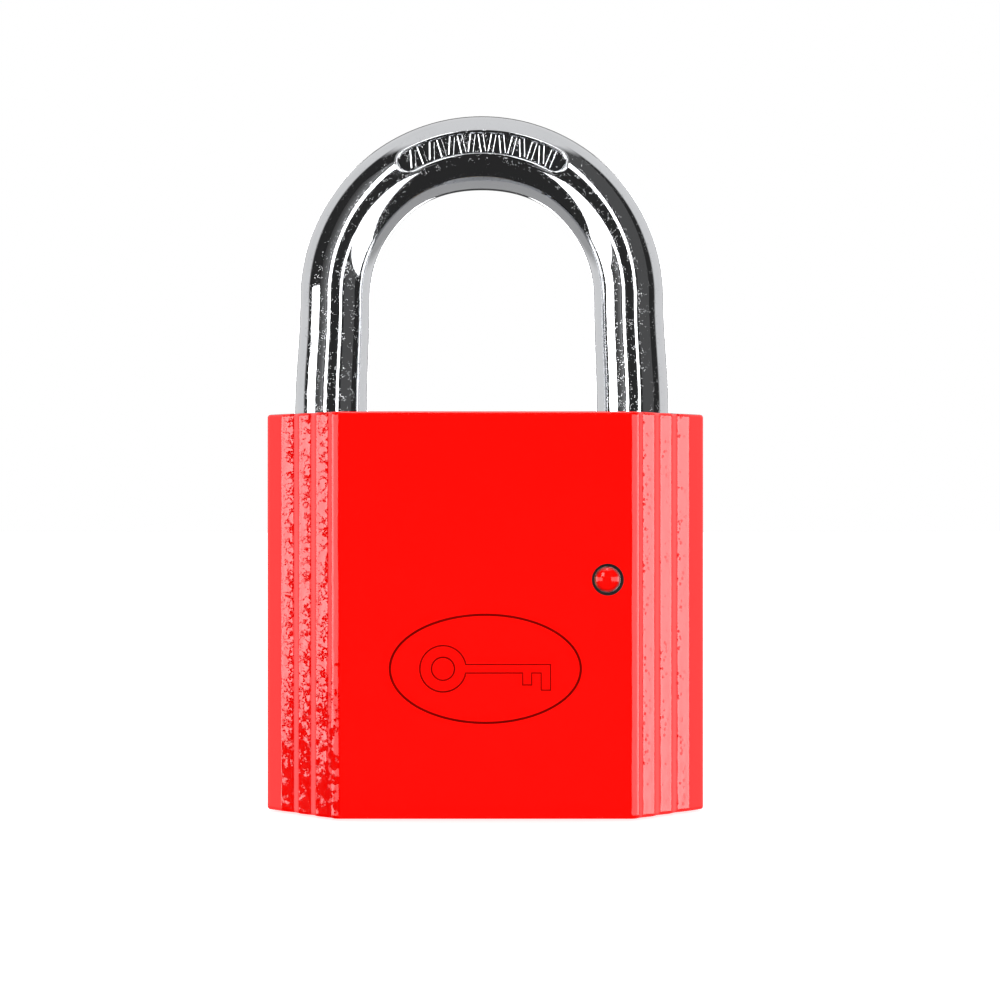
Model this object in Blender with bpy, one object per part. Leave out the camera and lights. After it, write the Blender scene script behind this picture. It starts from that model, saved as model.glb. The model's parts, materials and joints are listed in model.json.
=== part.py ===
"""Padlock: a ribbed iron casting, a round-bar shackle and a five-pin cylinder lock.

The base of the casting stands on z = 0, with the origin at its centre. +X points to
the heel of the shackle, -Y to the front face and +Z up. At rest the shackle is down,
the latch is held back and the five pin stacks stand at the shear line.
"""

import math

import bmesh
import bpy
from mathutils import Matrix, Vector

MM = 0.001

# ---- driving dimensions, in millimetres -------------------------------------------

# Casting
BODY_WIDTH = 50.0
BODY_DEPTH = 22.0
BODY_HEIGHT = 45.3
BODY_FLOOR = 3.0          # metal under the heel bore
BODY_EDGE = 0.4           # chamfer round the top and the base
RIB_COUNT = 3             # ribs at each corner
RIB_RISER_OUT = 0.6       # how far a riser leans outwards
RIB_FACE = 1.5            # width and depth of a rib's 45 degree face
SIDE_FACE = 1.8           # width and depth of the last face, next to the side
SIDE_FLAT = 1.6

# Clearances
GAP = 0.3                 # between pieces that touch or slide
TOE_GAP = 0.6             # under the toe
OVERCUT = 1.0             # how far a cutting shape stands out of what it cuts, or into what it joins

# Shackle
SHACKLE_RADIUS = 4.2
LEG_INSET = 7.7           # from the casting's side to a leg's axis, before the shift
SHACKLE_SHIFT = -0.4      # the bow and both its bores sit a little off the middle
LEG_LEAN = 0.5            # how far each leg closes in above the casting
SHACKLE_RISE = 34.5       # top of the bow above the casting
SHACKLE_LIFT = 13.0
TOE_DEPTH = 12.0
END_CHAMFER = 0.7
COLLAR_LENGTH = 2.6       # full-round end of the heel, below the neck
NECK_RADIUS = 1.55
FLAT_MARGIN = 1.0         # heel flat beyond the retaining pin
SPRING_ROOM = 6.25        # from the heel bore's floor to the heel's end

# Heel retaining pin
HEEL_PIN_RADIUS = 1.45
HEEL_PIN_REACH = 17.0     # length along Y, from just below the front face
HEEL_PIN_DOME = 0.55
HEEL_PIN_DOME_STEPS = 4

# Latch
LATCH_HEIGHT = 4.7
LATCH_TOP_DEPTH = 4.6     # from the casting's top to the latch's top
LATCH_TRAVEL = 3.2
LATCH_BEVEL = 2.4
LATCH_TAIL = 2.6          # metal behind the cam pin's slot
LATCH_SLOT_DEPTH = 2.4
POCKET_WALL = 2.3         # between the latch spring's pocket and the heel bore

# Lock cylinder
HOUSING_BOTTOM = 0.4
HOUSING_RADIUS = 7.2
HUMP_WIDTH = 6.4          # the latch drops in through the hump's slot, so it is as wide
HUMP_INSET = 2.9          # from the toe's axis to the hump's outer face
CAM_ROOM = 6.2            # from the housing's top to the latch
COVER_THICKNESS = 0.8
COVER_WIDTH = 3.8
COVER_END = 0.8           # cover beyond the end chambers
CROSS_PIN_RADIUS = 1.25
CROSS_PIN_OFFSET = 0.4    # from the housing's wall out to the cross pin's axis
CROSS_PIN_REACH = 16.0
CROSS_PIN_HEIGHT = 15.0

# Plug, cam and screw
PLUG_RADIUS = 5.0
PLUG_BOTTOM = 0.5
FACE_LENGTH = 2.0         # plug between its outer face and the first chamber's bay
DRIVE_END = 6.4           # plug above the last chamber's bay
KEYWAY_WIDTH = 1.6
KEYWAY_START = -3.2       # keyway's inner edge, on the pins' side
KEYWAY_WARD = 0.5         # sideways step of the keyway's middle
TONGUE_WIDTH = 2.0
TONGUE_LENGTH = 8.0
TONGUE_DEPTH = 1.3
CAM_RADIUS = 6.6
CAM_THICKNESS = 2.4
CAM_PIN_RADIUS = 0.9
SCREW_RADIUS = 0.8
SCREW_HEAD_RADIUS = 1.9
SCREW_HEAD_HEIGHT = 1.2
SCREW_END = 4.5           # from the plug's top down to the screw's end
SCREW_SLOT_WIDTH = 0.5
SCREW_SLOT_DEPTH = 0.6

# Pins
CHAMBER_COUNT = 5
PIN_RADIUS = 1.25
PIN_EDGE = 0.25
KEY_PIN_CONE = 0.6        # length of a key pin's cone, as a share of its radius
KEY_PIN_TIP = 0.3         # radius of the cone's end, as a share of the pin's
CHAMBER_BOTTOM = 0.4      # x of the chambers' inner end
SHEAR_INSET = 0.2         # key pin's outer end, inside the plug's skin
KEY_PIN_LENGTHS = (2.7, 3.6, 3.0, 4.2, 3.3)
DRIVER_LENGTH = 3.0

# Springs: wire radius, coil radius to the wire's middle, and turns
PIN_SPRING = (0.16, 0.95, 6)
LATCH_SPRING = (0.25, 1.5, 6)
SHACKLE_SPRING = (0.4, 3.0, 4)
COIL_STEPS = 10           # straight lengths of wire in a turn
CLOSED_TURNS = 0.75       # of a turn, lying closed at either end
CLOSED_PITCH = 2.1        # wire radii to a turn where it lies closed

# Engraved oval and key sign on the front
OVAL_HALF_WIDTH = 10.8
OVAL_HALF_HEIGHT = 6.2
OVAL_LINE = 0.4
OVAL_HEIGHT = 16.7        # centre above the base
SIGN_LINE = 0.7
SIGN_BOW = 2.5            # outer radius of the key sign's bow
SIGN_REACH = 7.2          # from the oval's centre to either end of the sign
SIGN_TOOTH = 1.7
SIGN_TOOTH_PITCH = 1.82
ENGRAVING = 0.4

# Sides of what is round
LARGE_SIDES = 32
MEDIUM_SIDES = 24
PRESSED_PIN_SIDES = 20
SMALL_SIDES = 16
PIN_SIDES = 14
OVAL_SIDES = 36

# ---- places worked out from them --------------------------------------------------

leg_half_spacing = BODY_WIDTH / 2 - LEG_INSET
heel_x = SHACKLE_SHIFT + leg_half_spacing
toe_x = SHACKLE_SHIFT - leg_half_spacing
bore_radius = SHACKLE_RADIUS + GAP
heel_end = BODY_FLOOR + SPRING_ROOM
collar_top = heel_end + COLLAR_LENGTH
heel_pin_z = collar_top + SHACKLE_LIFT + GAP + HEEL_PIN_RADIUS
heel_pin_x = heel_x - NECK_RADIUS - GAP - HEEL_PIN_RADIUS
toe_end = BODY_HEIGHT - TOE_DEPTH

latch_top = BODY_HEIGHT - LATCH_TOP_DEPTH
latch_bottom = latch_top - LATCH_HEIGHT
latch_middle = (latch_top + latch_bottom) / 2
latch_nose = toe_x + bore_radius + GAP
cam_pin_throw = LATCH_TRAVEL
slot_start = -(cam_pin_throw + CAM_PIN_RADIUS + GAP)
slot_end = CAM_PIN_RADIUS + GAP
latch_tail = slot_end + LATCH_TAIL
pocket_end = heel_x - bore_radius - POCKET_WALL

hump_reach = -toe_x - HUMP_INSET
housing_top = latch_bottom - CAM_ROOM
shelf_top = latch_bottom - GAP
cavity_radius = HOUSING_RADIUS + GAP
plug_bore = PLUG_RADIUS + GAP
cross_pin_x = HOUSING_RADIUS + CROSS_PIN_OFFSET
cam_bottom = housing_top + GAP
cam_top = cam_bottom + CAM_THICKNESS
screw_seat = cam_top + GAP

chamber_radius = PIN_RADIUS + GAP
chamber_pitch = (housing_top - HOUSING_BOTTOM - DRIVE_END - FACE_LENGTH) / CHAMBER_COUNT
chamber_heights = [
    HOUSING_BOTTOM + FACE_LENGTH + chamber_pitch * (i + 0.5) for i in range(CHAMBER_COUNT)
]
shear_x = -(PLUG_RADIUS - SHEAR_INSET)
driver_start = -(PLUG_RADIUS + GAP)
driver_end = driver_start - DRIVER_LENGTH
cover_inside = -(hump_reach - COVER_THICKNESS)

RED = ("red_paint", (0.72, 0.012, 0.006), 0.28, 0.0)
CHROME = ("chrome_plate", (0.78, 0.78, 0.79), 0.08, 1.0)
BRASS = ("brass", (0.72, 0.52, 0.22), 0.3, 1.0)
STEEL = ("plain_steel", (0.5, 0.5, 0.52), 0.35, 1.0)
SPRING_STEEL = ("spring_steel", (0.32, 0.33, 0.35), 0.3, 1.0)


# ---- building tools ---------------------------------------------------------------

def material(settings):
    """Return the named Principled material, made on first use."""
    name, colour, roughness, metallic = settings
    made = bpy.data.materials.get(name)
    if made is None:
        made = bpy.data.materials.new(name)
        made.use_nodes = True
        shader = made.node_tree.nodes["Principled BSDF"]
        shader.inputs["Base Color"].default_value = (*colour, 1.0)
        shader.inputs["Roughness"].default_value = roughness
        shader.inputs["Metallic"].default_value = metallic
    return made


def place(name, bm, finish=None, origin=(0.0, 0.0, 0.0), holder=None, smooth=0.6):
    """Turn a bmesh in millimetres into an object whose origin is at the given point."""
    bmesh.ops.recalc_face_normals(bm, faces=bm.faces)
    bmesh.ops.translate(bm, verts=bm.verts, vec=-Vector(origin))
    bmesh.ops.scale(bm, verts=bm.verts, vec=(MM, MM, MM))
    mesh = bpy.data.meshes.new(name)
    bm.to_mesh(mesh)
    bm.free()
    piece = bpy.data.objects.new(name, mesh)
    bpy.context.collection.objects.link(piece)
    piece.location = Vector(origin) * MM
    if holder is not None:
        piece.parent = holder
        piece.location -= holder.location
    if finish is not None:
        mesh.materials.append(material(finish))
        mesh.shade_smooth()
        mesh.set_sharp_from_angle(angle=smooth)
    return piece


def cutter(name, bm):
    """Make a cutting shape, which isn't part of the padlock."""
    tool = place(name, bm)
    tool.hide_render = True
    tool.display_type = "WIRE"
    return tool


def cut(piece, *tools, operation="DIFFERENCE"):
    """Cut a piece with each tool, or join the tools to it."""
    for tool in tools:
        step = piece.modifiers.new(tool.name, "BOOLEAN")
        step.operation = operation
        step.object = tool


def axis_holder(name, point):
    """Make an empty on a joint's axis, which carries what that joint moves."""
    holder = bpy.data.objects.new(name, None)
    bpy.context.collection.objects.link(holder)
    holder.location = Vector(point) * MM
    return holder


def box(low, high):
    """A block between two corners."""
    bm = bmesh.new()
    size = Vector(high) - Vector(low)
    middle = (Vector(high) + Vector(low)) / 2
    placed = Matrix.Translation(middle) @ Matrix.Diagonal((*size, 1.0))
    bmesh.ops.create_cube(bm, size=1.0, matrix=placed)
    return bm


def prism(outline, low, high, holes=(), upright=False):
    """Extrude an outline with holes from low to high along Z, or along Y if upright."""
    bm = bmesh.new()
    for loop in (outline, *holes):
        corners = [bm.verts.new((u, v, low)) for u, v in loop]
        for first, second in zip(corners, corners[1:] + corners[:1]):
            bm.edges.new((first, second))
    bmesh.ops.triangle_fill(bm, edges=bm.edges[:], use_beauty=True)
    if not holes:
        bmesh.ops.dissolve_faces(bm, faces=bm.faces[:])
    raised = bmesh.ops.extrude_face_region(bm, geom=bm.faces[:])["geom"]
    moved = [item for item in raised if isinstance(item, bmesh.types.BMVert)]
    bmesh.ops.translate(bm, verts=moved, vec=(0.0, 0.0, high - low))
    if upright:
        bmesh.ops.rotate(bm, verts=bm.verts, matrix=Matrix.Rotation(math.radians(90), 3, "X"))
    return bm


def turned(profile, segments, centre=(0.0, 0.0, 0.0), axis="Z", ring=False):
    """Spin (along, radius) points about an axis through centre; a ring's profile is closed."""
    bm = bmesh.new()
    points = [bm.verts.new((radius, 0.0, along)) for along, radius in profile]
    pairs = list(zip(points, points[1:]))
    if ring:
        pairs.append((points[-1], points[0]))
    for first, second in pairs:
        bm.edges.new((first, second))
    bmesh.ops.spin(
        bm, geom=bm.verts[:] + bm.edges[:], cent=(0, 0, 0), axis=(0, 0, 1), dvec=(0, 0, 0),
        angle=math.tau, steps=segments, use_duplicate=False,
    )
    bmesh.ops.remove_doubles(bm, verts=bm.verts, dist=0.0001)
    turn = {"X": ("Y", 90), "Y": ("X", -90), "Z": ("Z", 0)}[axis]
    bmesh.ops.rotate(bm, verts=bm.verts, matrix=Matrix.Rotation(math.radians(turn[1]), 3, turn[0]))
    bmesh.ops.translate(bm, verts=bm.verts, vec=centre)
    return bm


def rod(radius, low, high, segments, centre=(0.0, 0.0, 0.0), axis="Z"):
    """A round bar from low to high along an axis."""
    return turned([(low, 0.0), (low, radius), (high, radius), (high, 0.0)], segments, centre, axis)


def arc(radius_x, radius_y, start, end, steps, centre=(0.0, 0.0)):
    """Points of an arc in degrees, with both ends."""
    angles = [math.radians(start + (end - start) * i / steps) for i in range(steps + 1)]
    return [(centre[0] + radius_x * math.cos(a), centre[1] + radius_y * math.sin(a)) for a in angles]


def oval(radius_x, radius_y, sides, centre):
    """Points all the way round an oval, each once."""
    return arc(radius_x, radius_y, 0, 360, sides, centre)[:-1]


def swept(name, points, radius, resolution, finish, origin, holder=None, tapers=None):
    """A round bar or wire along a line of points, as a mesh object."""
    curve = bpy.data.curves.new(name, "CURVE")
    curve.dimensions = "3D"
    curve.bevel_depth = radius * MM
    curve.bevel_resolution = resolution
    curve.use_fill_caps = True
    spline = curve.splines.new("POLY")
    spline.points.add(len(points) - 1)
    for index, point in enumerate(points):
        spline.points[index].co = (*((Vector(point) - Vector(origin)) * MM), 1.0)
        spline.points[index].radius = tapers[index] if tapers else 1.0
    bar = bpy.data.objects.new(name + "_path", curve)
    mesh = bpy.data.meshes.new_from_object(bar)
    bpy.data.objects.remove(bar)
    bm = bmesh.new()
    bm.from_mesh(mesh)
    bpy.data.meshes.remove(mesh)
    bmesh.ops.remove_doubles(bm, verts=bm.verts, dist=0.0001 * MM)
    bmesh.ops.scale(bm, verts=bm.verts, vec=(1 / MM, 1 / MM, 1 / MM))
    bmesh.ops.translate(bm, verts=bm.verts, vec=origin)
    return place(name, bm, finish, origin, holder)


def coil(name, wire, start, end, axis, origin, holder=None):
    """A spring from start to end along an axis, with closed end turns."""
    wire_radius, coil_radius, turns = wire
    total = turns * COIL_STEPS
    closed = COIL_STEPS * CLOSED_TURNS
    low, high = start + wire_radius, end - wire_radius
    if end < start:
        low, high = start - wire_radius, end + wire_radius
    closing = math.copysign(CLOSED_PITCH * wire_radius * CLOSED_TURNS, high - low)
    points = []
    for step in range(total + 1):
        if step < closed:
            along = low + closing * step / closed
        elif step > total - closed:
            along = high - closing * (total - step) / closed
        else:
            share = (step - closed) / (total - 2 * closed)
            along = low + closing + (high - low - 2 * closing) * share
        angle = math.tau * step / COIL_STEPS
        side, up = coil_radius * math.cos(angle), coil_radius * math.sin(angle)
        offset = (along, side, up) if axis == "X" else (side, up, along)
        points.append(Vector(origin) * Vector((axis != "X", 1, axis != "Z")) + Vector(offset))
    return swept(name, points, wire_radius, 1, SPRING_STEEL, origin, holder)


# ---- casting ----------------------------------------------------------------------

def body_outline():
    """The casting in plan: flat front, back and sides, with stepped ribs at the corners."""
    back_per_rib = (BODY_DEPTH / 2 - SIDE_FLAT / 2 - SIDE_FACE) / RIB_COUNT
    riser_back = back_per_rib - RIB_FACE
    x = BODY_WIDTH / 2 - SIDE_FACE - RIB_COUNT * (RIB_RISER_OUT + RIB_FACE)
    y = BODY_DEPTH / 2
    corner = [(x, y)]
    for _ in range(RIB_COUNT):
        x, y = x + RIB_RISER_OUT, y - riser_back
        corner.append((x, y))
        x, y = x + RIB_FACE, y - RIB_FACE
        corner.append((x, y))
    corner.append((BODY_WIDTH / 2, SIDE_FLAT / 2))
    back_right = corner
    front_right = [(x, -y) for x, y in reversed(corner)]
    front_left = [(-x, -y) for x, y in corner]
    back_left = [(-x, y) for x, y in reversed(corner)]
    return back_right + front_right + front_left + back_left


def keyhole_outline(radius, half_width, reach, segments=28):
    """A round barrel with a straight hump towards -X."""
    meet = 180 - math.degrees(math.asin(half_width / radius))
    barrel = arc(radius, radius, -meet, meet, segments)
    return barrel + [(-reach, half_width), (-reach, -half_width)]


def key_sign():
    """The key sign's outline and the hole in its bow."""
    bow = (-SIGN_REACH + SIGN_BOW, OVAL_HEIGHT)
    half = SIGN_LINE / 2
    opening = math.degrees(math.asin(half / SIGN_BOW))
    stem_top, stem_bottom = OVAL_HEIGHT + half, OVAL_HEIGHT - half
    tooth_end = stem_bottom - SIGN_TOOTH
    outline = arc(SIGN_BOW, SIGN_BOW, 360 - opening, opening, MEDIUM_SIDES, bow)
    outline.append((SIGN_REACH, stem_top))
    for edge in (SIGN_REACH, SIGN_REACH - SIGN_TOOTH_PITCH):
        if edge != SIGN_REACH:
            outline.append((edge, stem_bottom))
        outline += [(edge, tooth_end), (edge - SIGN_LINE, tooth_end), (edge - SIGN_LINE, stem_bottom)]
    inner = SIGN_BOW - SIGN_LINE
    return outline, oval(inner, inner, MEDIUM_SIDES, bow)


def make_lock_body():
    bm = prism(body_outline(), 0.0, BODY_HEIGHT)
    rims = [edge for edge in bm.edges if edge.verts[0].co.z == edge.verts[1].co.z]
    bmesh.ops.bevel(bm, geom=rims, offset=BODY_EDGE, segments=1, affect="EDGES", clamp_overlap=True)
    body = place("lock_body", bm, RED)

    cavity = keyhole_outline(cavity_radius, HUMP_WIDTH / 2 + GAP, hump_reach + GAP)
    bay_top = latch_top + GAP
    front = -BODY_DEPTH / 2
    cut(body, cutter("cylinder_cavity", prism(cavity, -OVERCUT, bay_top)))
    for name, floor, x in (("heel_bore", BODY_FLOOR, heel_x), ("toe_bore", toe_end - TOE_GAP, toe_x)):
        cut(body, cutter(name, rod(bore_radius, floor, BODY_HEIGHT + OVERCUT, LARGE_SIDES, (x, 0, 0))))
    pocket_radius = LATCH_SPRING[0] + LATCH_SPRING[1] + GAP
    pocket = rod(
        pocket_radius, cavity_radius - OVERCUT, pocket_end, SMALL_SIDES, (0, 0, latch_middle), "X",
    )
    cut(body, cutter("latch_spring_pocket", pocket))
    pin_hole = rod(
        HEEL_PIN_RADIUS + GAP, front - OVERCUT, front + HEEL_PIN_REACH + 2 * GAP, MEDIUM_SIDES,
        (heel_pin_x, 0, heel_pin_z), "Y",
    )
    cut(body, cutter("heel_pin_hole", pin_hole))
    cross_hole = rod(
        CROSS_PIN_RADIUS + GAP, -front - CROSS_PIN_REACH - 2 * GAP, -front + OVERCUT,
        PRESSED_PIN_SIDES, (cross_pin_x, 0, CROSS_PIN_HEIGHT), "Y",
    )
    cut(body, cutter("cross_pin_hole", cross_hole))

    middle = (0, OVAL_HEIGHT)
    outer = oval(OVAL_HALF_WIDTH, OVAL_HALF_HEIGHT, OVAL_SIDES, middle)
    inner = oval(OVAL_HALF_WIDTH - OVAL_LINE, OVAL_HALF_HEIGHT - OVAL_LINE, OVAL_SIDES, middle)
    deep, proud = -front - ENGRAVING, -front + OVERCUT
    cut(body, cutter("oval_line", prism(outer, deep, proud, [inner], upright=True)))
    sign, bow_hole = key_sign()
    cut(body, cutter("key_sign", prism(sign, deep, proud, [bow_hole], upright=True)))


def make_heel_retaining_pin():
    front = -BODY_DEPTH / 2 + GAP / 2
    rise = arc(HEEL_PIN_DOME, HEEL_PIN_RADIUS, 180, 90, HEEL_PIN_DOME_STEPS, (front + HEEL_PIN_DOME, 0.0))
    dome = [(front, 0.0)] + rise[1:]
    end = front + HEEL_PIN_REACH
    profile = dome + [(end - PIN_EDGE, HEEL_PIN_RADIUS), (end, HEEL_PIN_RADIUS - PIN_EDGE), (end, 0.0)]
    pin = turned(profile, PRESSED_PIN_SIDES, (heel_pin_x, 0, heel_pin_z), "Y")
    place("heel_retaining_pin", pin, RED)


# ---- shackle ----------------------------------------------------------------------

def shackle_path():
    """Points from the heel's end, over the bow and down to the toe, with their bar sizes."""
    bow_radius = leg_half_spacing - LEG_LEAN
    spring_line = BODY_HEIGHT + SHACKLE_RISE - SHACKLE_RADIUS - bow_radius
    straight_top = BODY_HEIGHT + GAP
    thin = (SHACKLE_RADIUS - END_CHAMFER) / SHACKLE_RADIUS
    heel = [(heel_x, 0, heel_end), (heel_x, 0, heel_end + END_CHAMFER), (heel_x, 0, straight_top)]
    bow = [(x, 0, z) for x, z in arc(bow_radius, bow_radius, 0, 180, 24, (SHACKLE_SHIFT, spring_line))]
    toe = [(toe_x, 0, straight_top), (toe_x, 0, toe_end + END_CHAMFER), (toe_x, 0, toe_end)]
    points = heel + bow + toe
    sizes = [thin] + [1.0] * (len(points) - 2) + [thin]
    return points, sizes


def make_shackle(holder):
    points, sizes = shackle_path()
    shackle = swept(
        "shackle", points, SHACKLE_RADIUS, 10, CHROME, (heel_x, 0, heel_end), holder, sizes,
    )
    reach = SHACKLE_RADIUS + OVERCUT
    flat_top = heel_pin_z + HEEL_PIN_RADIUS + GAP + FLAT_MARGIN
    flat = box((heel_x - reach, -reach, collar_top), (heel_x - NECK_RADIUS, reach, flat_top))
    neck_top = collar_top + 2 * (HEEL_PIN_RADIUS + GAP)
    neck = turned(
        [(collar_top, NECK_RADIUS), (collar_top, reach), (neck_top, reach), (neck_top, NECK_RADIUS)],
        MEDIUM_SIDES, (heel_x, 0, 0), ring=True,
    )
    notch_floor = latch_nose - LATCH_TRAVEL - GAP
    notch = box((notch_floor, -reach, latch_bottom - GAP), (toe_x + reach, reach, latch_top + GAP))
    cut(shackle, cutter("heel_flat", flat), cutter("heel_neck", neck), cutter("toe_notch", notch))


# ---- lock cylinder ----------------------------------------------------------------

def make_cylinder_housing():
    outline = keyhole_outline(HOUSING_RADIUS, HUMP_WIDTH / 2, hump_reach)
    housing = place("cylinder_housing", prism(outline, HOUSING_BOTTOM, housing_top), BRASS)
    half = HUMP_WIDTH / 2
    shelf = box(
        (latch_nose, -half, housing_top - OVERCUT), (-(CAM_RADIUS + 2 * GAP), half, shelf_top),
    )
    cut(housing, cutter("latch_shelf", shelf), operation="UNION")
    cut(housing, cutter("plug_bore", rod(plug_bore, -OVERCUT, housing_top + OVERCUT, LARGE_SIDES)))
    for number, height in enumerate(chamber_heights, 1):
        chamber = rod(chamber_radius, -hump_reach - OVERCUT, 0.0, SMALL_SIDES, (0, 0, height), "X")
        cut(housing, cutter(f"housing_chamber_{number}", chamber))
    half = COVER_WIDTH / 2 + GAP
    low = chamber_heights[0] - chamber_radius - COVER_END - GAP
    high = chamber_heights[-1] + chamber_radius + COVER_END + GAP
    groove = box((-hump_reach - OVERCUT, -half, low), (cover_inside + GAP, half, high))
    cut(housing, cutter("cover_groove", groove))
    notch = rod(
        CROSS_PIN_RADIUS + GAP, -2 * HOUSING_RADIUS, 2 * HOUSING_RADIUS, PRESSED_PIN_SIDES,
        (cross_pin_x, 0, CROSS_PIN_HEIGHT), "Y",
    )
    cut(housing, cutter("cross_pin_notch", notch))


def make_chamber_cover():
    half = COVER_WIDTH / 2
    low = chamber_heights[0] - chamber_radius - COVER_END
    high = chamber_heights[-1] + chamber_radius + COVER_END
    place("chamber_cover", box((-hump_reach, -half, low), (cover_inside, half, high)), BRASS)


def make_cylinder_retaining_pin():
    back = BODY_DEPTH / 2 - GAP / 2
    front = back - CROSS_PIN_REACH
    slim = CROSS_PIN_RADIUS - PIN_EDGE
    profile = [(front, 0.0), (front, slim), (front + PIN_EDGE, CROSS_PIN_RADIUS),
               (back - PIN_EDGE, CROSS_PIN_RADIUS), (back, slim), (back, 0.0)]
    pin = turned(profile, PRESSED_PIN_SIDES, (cross_pin_x, 0, CROSS_PIN_HEIGHT), "Y")
    place("cylinder_retaining_pin", pin, STEEL)


def make_plug(holder):
    plug = place("plug", rod(PLUG_RADIUS, PLUG_BOTTOM, housing_top, LARGE_SIDES), BRASS, holder=holder)
    keyway_top = chamber_heights[-1] + chamber_radius + GAP
    half = KEYWAY_WIDTH / 2
    step = (PLUG_RADIUS - KEYWAY_START) / 3
    ward_start, ward_end, mouth = KEYWAY_START + step, KEYWAY_START + 2 * step, PLUG_RADIUS + OVERCUT
    warded = [
        (KEYWAY_START, -half), (ward_start, -half), (ward_start, KEYWAY_WARD - half),
        (ward_end, KEYWAY_WARD - half), (ward_end, -half), (mouth, -half), (mouth, half),
        (ward_end, half), (ward_end, KEYWAY_WARD + half), (ward_start, KEYWAY_WARD + half),
        (ward_start, half), (KEYWAY_START, half),
    ]
    cut(plug, cutter("keyway", prism(warded, -OVERCUT, keyway_top)))
    for number, height in enumerate(chamber_heights, 1):
        chamber = rod(
            chamber_radius, -PLUG_RADIUS - OVERCUT, CHAMBER_BOTTOM, SMALL_SIDES, (0, 0, height), "X",
        )
        cut(plug, cutter(f"plug_chamber_{number}", chamber))
    half = TONGUE_WIDTH / 2 + GAP
    top = housing_top + OVERCUT
    slot = box((-mouth, -half, housing_top - TONGUE_DEPTH - GAP), (mouth, half, top))
    cut(plug, cutter("tongue_slot", slot))
    screw_hole = rod(SCREW_RADIUS + GAP, housing_top - SCREW_END - GAP, top, SMALL_SIDES)
    cut(plug, cutter("plug_screw_hole", screw_hole))


def make_plug_cam(holder):
    cam = place("plug_cam", rod(CAM_RADIUS, cam_bottom, cam_top, LARGE_SIDES), STEEL, holder=holder)
    length, half = TONGUE_LENGTH / 2, TONGUE_WIDTH / 2
    tongue_end = housing_top - TONGUE_DEPTH
    tongue = box((-length, -half, tongue_end), (length, half, cam_bottom + OVERCUT))
    cut(cam, cutter("cam_tongue", tongue), operation="UNION")
    pin_end = latch_bottom + LATCH_SLOT_DEPTH - GAP
    pin = rod(CAM_PIN_RADIUS, cam_top - OVERCUT, pin_end, SMALL_SIDES, (-cam_pin_throw, 0, 0))
    cut(cam, cutter("cam_pin", pin), operation="UNION")
    hole = rod(SCREW_RADIUS + GAP, tongue_end - OVERCUT, cam_top + OVERCUT, SMALL_SIDES)
    cut(cam, cutter("cam_screw_hole", hole))


def make_cam_screw(holder):
    low = housing_top - SCREW_END
    head_top = screw_seat + SCREW_HEAD_HEIGHT
    profile = [(low, 0.0), (low, SCREW_RADIUS), (screw_seat, SCREW_RADIUS),
               (screw_seat, SCREW_HEAD_RADIUS), (head_top, SCREW_HEAD_RADIUS), (head_top, 0.0)]
    screw = place("cam_screw", turned(profile, PRESSED_PIN_SIDES), STEEL, holder=holder)
    reach, half = SCREW_HEAD_RADIUS + OVERCUT, SCREW_SLOT_WIDTH / 2
    slot = box((-reach, -half, head_top - SCREW_SLOT_DEPTH), (reach, half, head_top + OVERCUT))
    cut(screw, cutter("screw_slot", slot))


def make_pin_stack(number, height, length, plug_holder):
    """One key pin with its round tip, one driver pin and their spring."""
    slim = PIN_RADIUS - PIN_EDGE
    tip = shear_x + length
    key_pin = [(shear_x, 0.0), (shear_x, slim), (shear_x + PIN_EDGE, PIN_RADIUS),
               (tip - PIN_RADIUS * KEY_PIN_CONE, PIN_RADIUS), (tip, PIN_RADIUS * KEY_PIN_TIP), (tip, 0.0)]
    origin = (shear_x, 0, height)
    key_pin = turned(key_pin, PIN_SIDES, (0, 0, height), "X")
    place(f"key_pin_{number}", key_pin, BRASS, origin, plug_holder)
    driver = [(driver_end, 0.0), (driver_end, slim), (driver_end + PIN_EDGE, PIN_RADIUS),
              (driver_start - PIN_EDGE, PIN_RADIUS), (driver_start, slim), (driver_start, 0.0)]
    origin = (driver_start, 0, height)
    place(f"driver_pin_{number}", turned(driver, PIN_SIDES, (0, 0, height), "X"), STEEL, origin)
    origin = (cover_inside + GAP, 0, height)
    coil(f"pin_spring_{number}", PIN_SPRING, cover_inside + GAP, driver_end - GAP, "X", origin)


# ---- latch ------------------------------------------------------------------------

def make_latch_bolt(holder):
    bevelled = [
        (latch_nose, latch_bottom), (latch_tail, latch_bottom), (latch_tail, latch_top),
        (latch_nose + LATCH_BEVEL, latch_top), (latch_nose, latch_top - LATCH_BEVEL),
    ]
    half = HUMP_WIDTH / 2
    origin = (latch_nose, 0, latch_middle)
    bolt = place("latch_bolt", prism(bevelled, -half, half, upright=True), STEEL, origin, holder)
    slot = box(
        (slot_start, -half - OVERCUT, latch_bottom - OVERCUT),
        (slot_end, slot_end, latch_bottom + LATCH_SLOT_DEPTH),
    )
    cut(bolt, cutter("cam_pin_slot", slot))


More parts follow.
